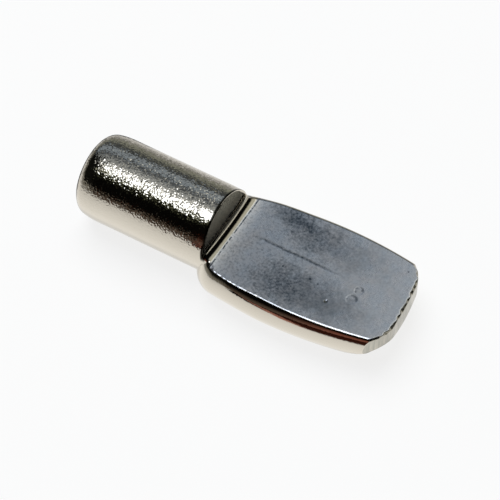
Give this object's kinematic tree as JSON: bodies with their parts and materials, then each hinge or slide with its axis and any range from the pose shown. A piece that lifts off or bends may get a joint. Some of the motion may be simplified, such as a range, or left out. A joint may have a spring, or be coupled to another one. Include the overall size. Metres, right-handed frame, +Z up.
{
  "type": "shelf support pin",
  "caption": "Forged metal shelf support pin: a round shank plugs into a drilled cabinet side and a flat, bulge-sided spoon seat carries the shelf.",
  "frame": {"origin": "on the shank's axis, in the plane of the panel's face, where the seat's root corners stop the pin, 0.8 mm short of the foot of the shoulder", "axes": "+X along the shank's axis towards the seat's tip, so the shank runs towards -X; +Y across the seat; +Z up, out of the flat that the shelf rests on"},
  "size_m": [0.0194, 0.0072, 0.005],
  "materials": {
    "plated_steel": "bright nickel plate over forged steel, satin on the coined flat"
  },
  "bodies": {
    "root": {"support_pin": "plated_steel"}
  },
  "joints": []
}
